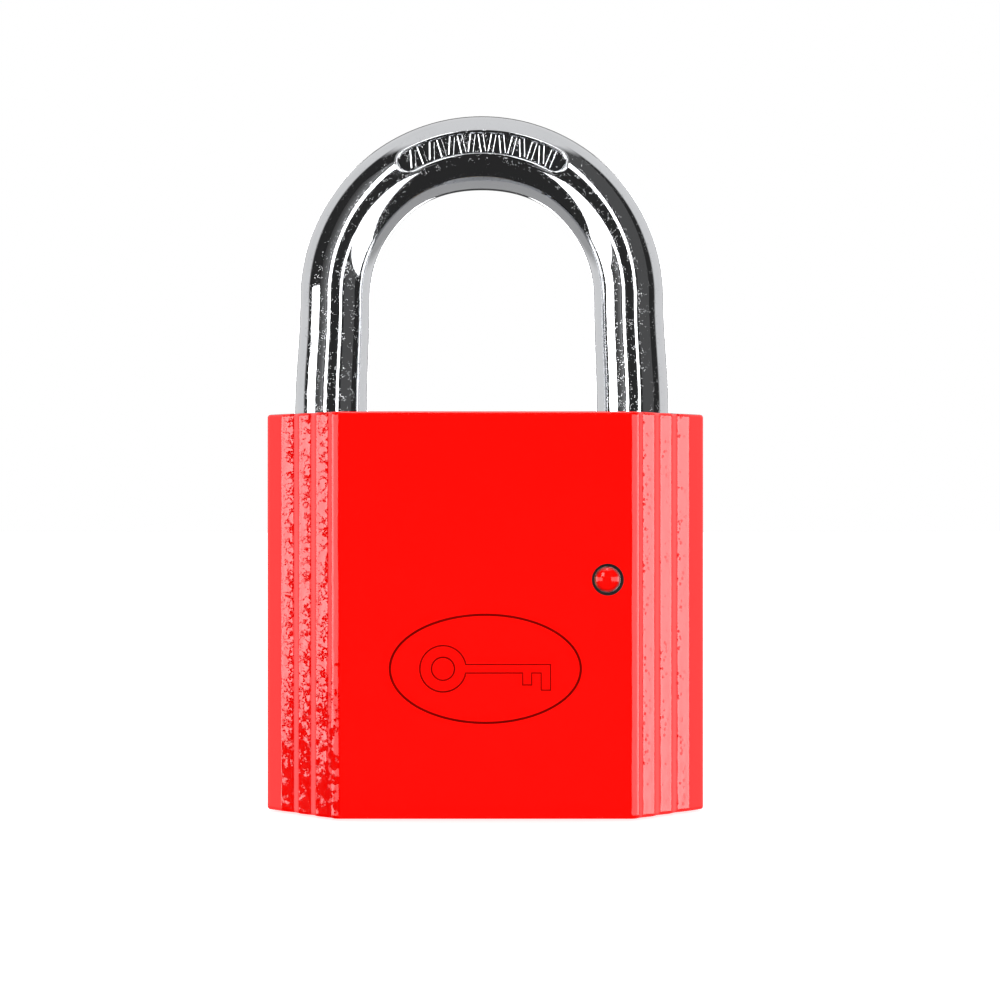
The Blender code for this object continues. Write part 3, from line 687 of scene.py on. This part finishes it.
def key_outline(settings):
    """Outline (x, z) of a plain key with two teeth, starting where the blade leaves the bow."""
    reach, bow, half, tooth = 7.2, 2.5, 0.42, 1.9       # blade's end, bow, half blade, long tooth
    teeth = ((reach - 3.0, reach - 2.1, tooth * 0.7), (reach - 0.95, reach, tooth))
    bow_x, up, steps = -reach + bow, settings.oval_up, 48
    start = math.asin(half / bow)
    turn = 2 * math.pi - 2 * start
    points = [(bow_x + bow * math.cos(start + turn * i / steps),
               up + bow * math.sin(start + turn * i / steps)) for i in range(steps + 1)]
    for far, near, drop in teeth:
        points += [(far, up - half), (far, up - half - drop), (near, up - half - drop)]
        if near < reach:
            points.append((near, up - half))
    return points + [(reach, up + half)], (bow_x, up)


def key_sign(settings, paint, line_shade_paint):
    """A shallow key-shaped recess with a painted floor, and strokes round it painted near-black red
    as painted shade.
    """
    outline, bow = key_outline(settings)
    front, hole = body_low.y, 1.35
    sign = stood_up(outlined("key_sign", outline, -front - settings.engraving, -front + EXTRA))
    joined(sign, rod("ring_hole", hole, front - 2 * EXTRA, front + EXTRA,
                     (bow[0], 0, bow[1]), 48, "Y"))
    strokes = [stroke("stroke", [(x, front, z) for x, z in points], settings.stroke * 1.1)
               for points in (outline, oval(hole, hole, bow, 40))]
    return [painted(sign, paint)] + [painted(line, line_shade_paint) for line in strokes]


def oval_groove(settings):
    """A thin ring, oval from the front, that cuts the engraved line."""
    inset = 0.2
    points = oval(settings.oval_width - inset, settings.oval_height - inset,
                  (0.0, settings.oval_up), 160)
    return stroke("oval_groove", [(x, body_low.y, z) for x, z in points], settings.stroke * 0.9)


def heel_pin(settings):
    """The round pin beside the heel, with a domed head under the paint."""
    radius, dome, head = (heel_pin_high.x - heel_pin_low.x) / 2, 0.95, heel_pin_low.y
    pin = rod("painted_pin", radius, head, heel_pin_high.y, heel_pin_centre, 64, "Y")
    with shaping(pin, "EDGE"):
        choose(pin, "edges", lambda e: max(v.co.y for v in e.verts) < head + 0.01)
        bpy.ops.mesh.bevel(offset=radius * 0.98, segments=14, affect="EDGES")
        choose(pin, "verts", lambda v: v.co.y < head + radius)
        bpy.ops.transform.resize(value=(1, dome / radius, 1), center_override=(0, head, 0))
    return painted(pin, gloss_paint("Pin paint", tuple(settings.paint)))


class PADLOCK_OT_casting(bpy.types.Operator):
    """Build the red casting, with its ribs, bores and engraving"""
    bl_idname = "padlock.casting"
    bl_label = "Casting"

    def execute(self, context):
        settings = context.scene.padlock_casting
        paint = gloss_paint("Red gloss paint", tuple(settings.paint))
        # Near-black red for grooves and holes: painted shade
        groove_shade_paint = gloss_paint("Engraved paint", tuple(settings.paint), engraved=True)
        # Very dark iron, partly its own colour and partly painted shade in the bores
        iron = dark_iron("Machined iron", tuple(settings.iron))

        corner = rib_corner(settings)
        right = corner + [(x, -y) for x, y in reversed(corner)]
        outline = right + [(-x, y) for x, y in reversed(right)]
        casting = painted(outlined("casting", outline, 0.0, body_high.z), paint)
        divided(casting, settings)
        roughened(casting, settings)

        bar = context.scene.padlock_shackle.bar_radius
        for tool in bores(settings, bar, iron, paint, groove_shade_paint):
            joined(casting, tool)
        # The oval groove and the key sign's strokes take the near-black red: painted shade in the
        # grooves
        groove = painted(oval_groove(settings), groove_shade_paint)
        for tool in (groove, *key_sign(settings, paint, groove_shade_paint)):
            joined(casting, tool)
        completed(casting, "casing", "red_paint", "lock_body", angle=38.0)
        completed(heel_pin(settings), "casing", "red_paint", "heel_retaining_pin")
        return {"FINISHED"}


# ---- shackle -------------------------------------------------------------------------

class Bow:
    """Places along the bent bar, in millimetres."""

    def __init__(self, settings):
        bar = settings.bar_radius
        self.heel_x, self.toe_x = shackle_high.x - bar, shackle_low.x + bar
        self.centre_x = (self.heel_x + self.toe_x) / 2
        self.radius = (self.heel_x - self.toe_x) / 2 - settings.leg_lean
        self.spring_line = shackle_high.z - 2 * bar - self.radius - settings.settle + bar
        self.heel_end, self.toe_end = shackle_low.z, toe_bore_floor + TOE_GAP
        self.drawn = 1 - settings.bow_draw          # share of the bar's thickness in the bow

    def on_crown(self, angle, radius, depth):
        """A point at an angle from the crown's top, a radius from the bow's centre and a depth
        in front."""
        return (self.centre_x + radius * math.sin(angle), -depth,
                self.spring_line + radius * math.cos(angle))


def push(x=0.0, z=0.0, share=1.0, at=None):
    """Raise the end face a step, and size it about a point."""
    bpy.ops.mesh.extrude_region_move(TRANSFORM_OT_translate={"value": (x, 0, z)})
    if share != 1.0:
        bpy.ops.transform.resize(value=(share, share, 1), center_override=at)


def bent_bar(settings, bow, start, steps):
    """The round bar, drawn from the heel's end up its leg, round the bow and down to the toe."""
    bar, slices, leg_lean = settings.bar_radius, 12, settings.leg_lean
    bpy.ops.mesh.primitive_circle_add(vertices=96, radius=bar - END_CHAMFER, fill_type="NGON",
                                      location=(bow.heel_x, 0, bow.heel_end))
    shackle = settled(started("chromed_bow"))
    lean = [0.5 - 0.5 * math.cos(math.pi * i / slices) for i in range(slices + 1)]
    size = [1 + (bow.drawn - 1) * share for share in lean]
    rise = (bow.spring_line - start) / slices
    with shaping(shackle, "FACE"):
        bpy.ops.mesh.select_all(action="SELECT")
        push(z=END_CHAMFER, share=bar / (bar - END_CHAMFER),
             at=(bow.heel_x, 0, bow.heel_end + END_CHAMFER))
        push(z=start - bow.heel_end - END_CHAMFER)
        for i in range(slices):
            push((lean[i] - lean[i + 1]) * leg_lean, rise, size[i + 1] / size[i],
                 (bow.heel_x - lean[i + 1] * leg_lean, 0, start + rise * (i + 1)))
        bpy.ops.mesh.spin(steps=steps, angle=math.pi, center=(bow.centre_x, 0, bow.spring_line),
                          axis=(0, 1, 0))
        for i in range(slices, 0, -1):
            push((lean[i - 1] - lean[i]) * leg_lean, -rise, size[i - 1] / size[i],
                 (bow.toe_x + lean[i - 1] * leg_lean, 0, start + rise * (i - 1)))
        push(z=bow.toe_end + END_CHAMFER - start)
        push(z=-END_CHAMFER, share=(bar - END_CHAMFER) / bar, at=(bow.toe_x, 0, bow.toe_end))
        weld(TINY)
    return shackle


def swollen(shackle, settings, bow, steps):
    """Swell the crown inwards, ring by ring, as stamping its panel does."""
    bar, reach = settings.bar_radius, 0.65          # reach is to either side, in radians
    centre = Vector((bow.centre_x, 0, bow.spring_line))
    with shaping(shackle, "VERT"):
        for step in range(1, steps):
            angle = math.pi * step / steps
            aside = angle - math.pi / 2
            swell = max(0.0, math.cos(2.4 * aside)) ** 2 * (abs(aside) < reach)
            if swell < 0.01:
                continue
            ring = Vector((bow.centre_x + bow.radius * math.cos(angle), 0,
                           bow.spring_line + bow.radius * math.sin(angle)))
            outward = (ring - centre).normalized()
            across = Vector((-outward.z, 0, outward.x))
            choose(shackle, "verts", lambda v: v.co.z > bow.spring_line
                   and abs((v.co - ring).dot(across)) < 1e-3 and (v.co - ring).length < bar * 1.1)
            grown = 1 + swell * settings.crown_swell / (bar * bow.drawn)
            bpy.ops.transform.resize(value=(grown, grown, grown), center_override=tuple(ring))
            bpy.ops.transform.translate(value=-outward * swell * settings.crown_swell)


def notched(shackle, settings, bow, gap, chrome):
    """Cut the heel's flat, the toe's notch and the heel's neck."""
    reach = settings.bar_radius + EXTRA
    collar_top = bow.heel_end + COLLAR_LENGTH
    flat_top = heel_pin_centre.z + HEEL_PIN_RADIUS + gap + FLAT_MARGIN
    for tool in (
            block("heel_flat", (bow.heel_x - reach, -reach, collar_top),
                  (bow.heel_x - NECK_RADIUS, reach, flat_top)),
            block("toe_notch", (latch_low.x - LATCH_TRAVEL - gap, -reach, latch_low.z - gap),
                  (bow.toe_x + reach, reach, latch_high.z + gap))):
        joined(shackle, painted(tool, chrome))
    neck_top, heel = collar_top + NECK_LENGTH, (bow.heel_x, 0, 0)
    neck = rod("neck", reach, collar_top, neck_top, heel)
    joined(neck, rod("neck_core", NECK_RADIUS, collar_top - EXTRA, neck_top + EXTRA, heel))
    joined(shackle, painted(neck, chrome))


def raised_bar(settings):
    """A raised mark with a low roof, standing on the panel's floor in front of the bow's middle."""
    half, floor, sunk, plinth, slope = 0.3, settings.panel_floor, 0.1, 0.1, math.radians(9.5)
    eaves = -floor - plinth
    section = [(-half, sunk - floor), (half, sunk - floor), (half, eaves),
               (0.0, -(floor + plinth + half * math.tan(slope))), (-half, eaves)]
    reach = settings.panel_half * 0.74
    return outlined("raised_bar", section, -reach, reach)


def panelled(shackle, settings, bow, chrome):
    """Sink the crown's flat panel, and raise its rim and its slanted bars."""
    mid, half = bow.radius + settings.panel_shift, settings.panel_half
    span, along = settings.panel_angle, 60
    ends = [math.pi * i / 16 for i in range(1, 16)]
    path = [(-span + 2 * span * i / along, mid + half) for i in range(along + 1)]
    path += [(span + math.sin(turn) * half / mid, mid + half * math.cos(turn)) for turn in ends]
    path += [(span - 2 * span * i / along, mid - half) for i in range(along + 1)]
    path += [(-span - math.sin(turn) * half / mid, mid - half * math.cos(turn)) for turn in ends]
    corners = [bow.on_crown(angle, radius, 0) for angle, radius in path]
    recess = stood_up(outlined("panel_recess", [(x, z) for x, _, z in corners],
                               settings.panel_floor, settings.bar_radius + EXTRA))
    joined(shackle, painted(recess, chrome))

    thin, sunk = settings.bar_radius * bow.drawn, 0.06
    rim = [bow.on_crown(angle, radius, max(
        settings.panel_floor, math.sqrt(thin ** 2 - (radius - bow.radius) ** 2)) - sunk)
        for angle, radius in path]
    marks = [stroke("panel_rim", rim, settings.ridge)]
    for number in range(settings.bar_count):
        angle = -span + 2 * span * (number + 0.5) / settings.bar_count
        mark = raised_bar(settings)
        mark.rotation_euler.y = 0.5 * angle + math.radians(9) * (-1) ** number
        mark.location = bow.on_crown(angle, mid, 0)
        marks.append(settled(mark))
    for mark in marks:
        joined(shackle, painted(mark, chrome), "UNION", "EXACT" if mark is marks[0] else "MANIFOLD")


class PADLOCK_OT_shackle(bpy.types.Operator):
    """Build the chromed shackle, with its notches and the panel on its crown"""
    bl_idname = "padlock.shackle"
    bl_label = "Shackle"

    def execute(self, context):
        settings = context.scene.padlock_shackle
        gap = context.scene.padlock_casting.clearance
        bow, steps = Bow(settings), 96
        shackle = bent_bar(settings, bow, body_high.z + gap, steps)
        swollen(shackle, settings, bow, steps)
        chrome = chrome_plate(tuple(settings.chrome))
        painted(shackle, chrome)
        notched(shackle, settings, bow, gap, chrome)
        panelled(shackle, settings, bow, chrome)
        completed(shackle, "shackle_bow", "chrome_plate", "shackle", angle=40.0)
        return {"FINISHED"}


# ---- lock cylinder -------------------------------------------------------------------

class PADLOCK_OT_cylinder(bpy.types.Operator):
    """Finish the lock cylinder, the pins, the latch and the springs"""
    bl_idname = "padlock.cylinder"
    bl_label = "Lock cylinder"

    def execute(self, context):
        settings = context.scene.padlock_cylinder
        brass = turned_metal("Turned brass", tuple(settings.brass), 0.22)
        pin_brass = turned_metal("Pin brass", tuple(settings.brass), 0.15, "X", 0.22)
        steel = turned_metal("Bright steel", tuple(settings.steel), 0.2, "Y", 0.25)
        latch_steel = turned_metal("Latch steel", tuple(settings.steel), 0.3, "X", 0.32)
        spring = turned_metal("Spring steel", tuple(settings.spring), 0.1, "X", 0.25)
        for name, node in frame["nodes"].items():
            if not node.hide_render:
                painted(node, pin_brass if name.startswith(("key_pin", "driver_pin")) else
                        spring if "spring" in name else
                        latch_steel if name.startswith(("latch", "plug_cam", "cam_screw")) else
                        steel if name == "cylinder_retaining_pin" else brass)
        return {"FINISHED"}


# ---- stage ---------------------------------------------------------------------------

LIGHT_DISTANCE = 1.2                # metres
AIM = Vector((0, 0, 0.04))          # the padlock's middle, which every light faces

# Name, left, right, low and high in degrees, radiance, and the group of pieces it lights;
# azimuth 0 is straight in front, positive to the right
LIGHTS = (
    ("left_box", -78, -51, -5, 8.2, 7.0, "Metal"),
    ("left_dim", -49, -43, -4, 40, 0.05, "Metal"),
    ("left_dim", -43, -37, -4, 40, 0.08, "Metal"),
    ("left_dim", -37, -31, -4, 40, 0.13, "Metal"),
    ("left_dim", -31, -25, -4, 40, 0.22, "Metal"),
    ("left_strip", -22, -13, -4, 60, 6.0, "Metal"),
    ("right_strip", 16, 24, -4, 60, 6.0, "Metal"),
    ("right_dim", 27, 72, -4, 60, 0.07, "Metal"),
    ("low_left", -80, -13, -27, -5, 4.0, "Metal"),
    ("low_right", 13, 80, -27, -5, 4.0, "Metal"),
    ("back_left", -170, -160, -20, 18, 5.0, "Metal"),
    ("back_right", 160, 170, -20, 18, 5.0, "Metal"),
    ("rib_left", -101, -77, -12, 14, 4.6, "Painted"),
    ("rib_right", 77, 101, -12, 14, 4.6, "Painted"),
    ("edge_left", -77, -30, -12, 13, 2.6, "Painted"),
    ("edge_right", 22, 77, -12, 13, 2.6, "Painted"),
    ("pin_glint", -42, -20, 18, 42, 5.0, "Pin"),
    ("rim_top", -40, 40, 66, 100, 3.0, "Painted"),
    ("front_fill", -35, 35, 5, 60, 2.4, "Painted"),
    ("floor_fill", -180, -100, 60, 110, 2.0, "Ground"),
)
UNSEEN_IN_GLOSS = ("front_fill", "floor_fill")


def towards(azimuth, elevation, distance):
    """A point seen from the padlock, from its direction in degrees."""
    a, e = math.radians(azimuth), math.radians(elevation)
    return Vector((math.sin(a) * math.cos(e), -math.cos(a) * math.cos(e), math.sin(e))) * distance


def soft_box(name, left, right, low, high, radiance, receivers):
    """A rectangular light that fills a patch of sky and lights only its receivers."""
    azimuth, elevation = (left + right) / 2, (low + high) / 2
    place = towards(azimuth, elevation, LIGHT_DISTANCE) + AIM
    width = 2 * LIGHT_DISTANCE * math.tan(math.radians(abs(right - left) / 2)) * math.cos(
        math.radians(elevation))
    height = 2 * LIGHT_DISTANCE * math.tan(math.radians(abs(high - low) / 2))
    bpy.ops.object.light_add(type="AREA", location=place)
    lamp = started(name)
    lamp.rotation_mode = "QUATERNION"
    lamp.rotation_quaternion = (place - AIM).to_track_quat("Z", "Y")
    lamp.data.shape, lamp.data.size, lamp.data.size_y = "RECTANGLE", width, height
    lamp.data.energy = radiance * width * height * math.pi
    lamp.visible_glossy = name not in UNSEEN_IN_GLOSS
    lamp.visible_camera = False
    lamp.light_linking.receiver_collection = receivers


def pale_floor():
    """The floor under the padlock."""
    bpy.ops.mesh.primitive_plane_add(size=12.0, location=(0, 0, -0.0002))
    floor = started("floor")
    with shaping(floor):
        bpy.ops.mesh.select_all(action="SELECT")
        bpy.ops.mesh.subdivide(number_cuts=8)
    painted(floor, studio_white())
    floor.visible_glossy = False
    return floor


def studio_sky():
    """A world that is white where the camera sees it, and lights dimly from above and behind."""
    world = bpy.data.worlds.new("Studio")
    sky = Finish(world)
    _, y, z = sky.parts(sky.node("ShaderNodeTexCoord", output=0))
    behind = y.between(-0.02, 0.12)
    far_back = 1.0 - 0.93 * y.between(0.84, 0.90)
    above = z.between(0.82, 0.90)
    below = (0.0 - z).between(0.1, 0.3)
    glow = (0.03 + 0.80 * behind * far_back * (1.0 - 0.5 * below)).max(0.85 * above)
    seen = sky.node("ShaderNodeLightPath", output=0)
    background = sky.tree.nodes["Background"]
    sky.feed(background.inputs["Color"], (1.0, 1.0, 1.0))
    sky.feed(background.inputs["Strength"], seen + (1.0 - seen) * glow)
    return world


class PADLOCK_OT_stage(bpy.types.Operator):
    """Set up the pale floor, the soft lights and the camera"""
    bl_idname = "padlock.stage"
    bl_label = "Stage"

    def execute(self, context):
        settings = context.scene.padlock_stage
        scene = context.scene
        scene.view_settings.view_transform = "Standard"
        floor = pale_floor()
        scene.world = studio_sky()

        groups = {name: bpy.data.collections.new(name)
                  for name in ("Painted", "Metal", "Ground", "Pin")}
        red_pieces = ("casting", "painted_pin")
        for piece in scene.objects:
            if piece.type == "MESH":
                group = ("Ground" if piece is floor else
                         "Painted" if piece.name in red_pieces else "Metal")
                groups[group].objects.link(piece)
        groups["Pin"].objects.link(bpy.data.objects["painted_pin"])
        for *patch, group in LIGHTS:
            soft_box(*patch, groups[group])
        for name in red_pieces:
            bpy.data.objects[name].visible_glossy = False

        bpy.ops.object.camera_add(
            location=(0, body_low.y * MM - settings.distance * MM, settings.height * MM),
            rotation=(math.pi / 2, 0, 0))
        camera = started("camera")
        camera.data.lens, camera.data.sensor_width = settings.lens, 36.0
        camera.data.shift_x, camera.data.shift_y = settings.aside, settings.upward
        camera.data.clip_start, camera.data.clip_end = 0.01, 30.0
        scene.camera = camera
        return {"FINISHED"}


# ---- panel and registering -----------------------------------------------------------

GROUPS = {"padlock_casting": CastingSettings, "padlock_shackle": ShackleSettings,
          "padlock_cylinder": CylinderSettings, "padlock_stage": StageSettings}
STEPS = (PADLOCK_OT_casting, PADLOCK_OT_shackle, PADLOCK_OT_cylinder, PADLOCK_OT_stage)


class PADLOCK_PT_panel(bpy.types.Panel):
    """Sizes, colours and steps of the padlock"""
    bl_idname = "PADLOCK_PT_panel"
    bl_label = "Padlock"
    bl_space_type = "VIEW_3D"
    bl_region_type = "UI"
    bl_category = "Padlock"

    def draw(self, context):
        for (group, settings), step in zip(GROUPS.items(), STEPS):
            box = self.layout.box()
            for name in settings.__annotations__:
                box.prop(getattr(context.scene, group), name)
            box.operator(step.bl_idname)


CLASSES = (*GROUPS.values(), *STEPS, PADLOCK_PT_panel)


def register():
    for cls in CLASSES:
        bpy.utils.register_class(cls)
    for name, settings in GROUPS.items():
        setattr(bpy.types.Scene, name, PointerProperty(type=settings))


def unregister():
    for name in GROUPS:
        delattr(bpy.types.Scene, name)
    for cls in reversed(CLASSES):
        bpy.utils.unregister_class(cls)


def main():
    register()
    bpy.ops.padlock.casting()
    bpy.ops.padlock.shackle()
    bpy.ops.padlock.cylinder()
    bpy.ops.padlock.stage()


if __name__ == "__main__":
    main()
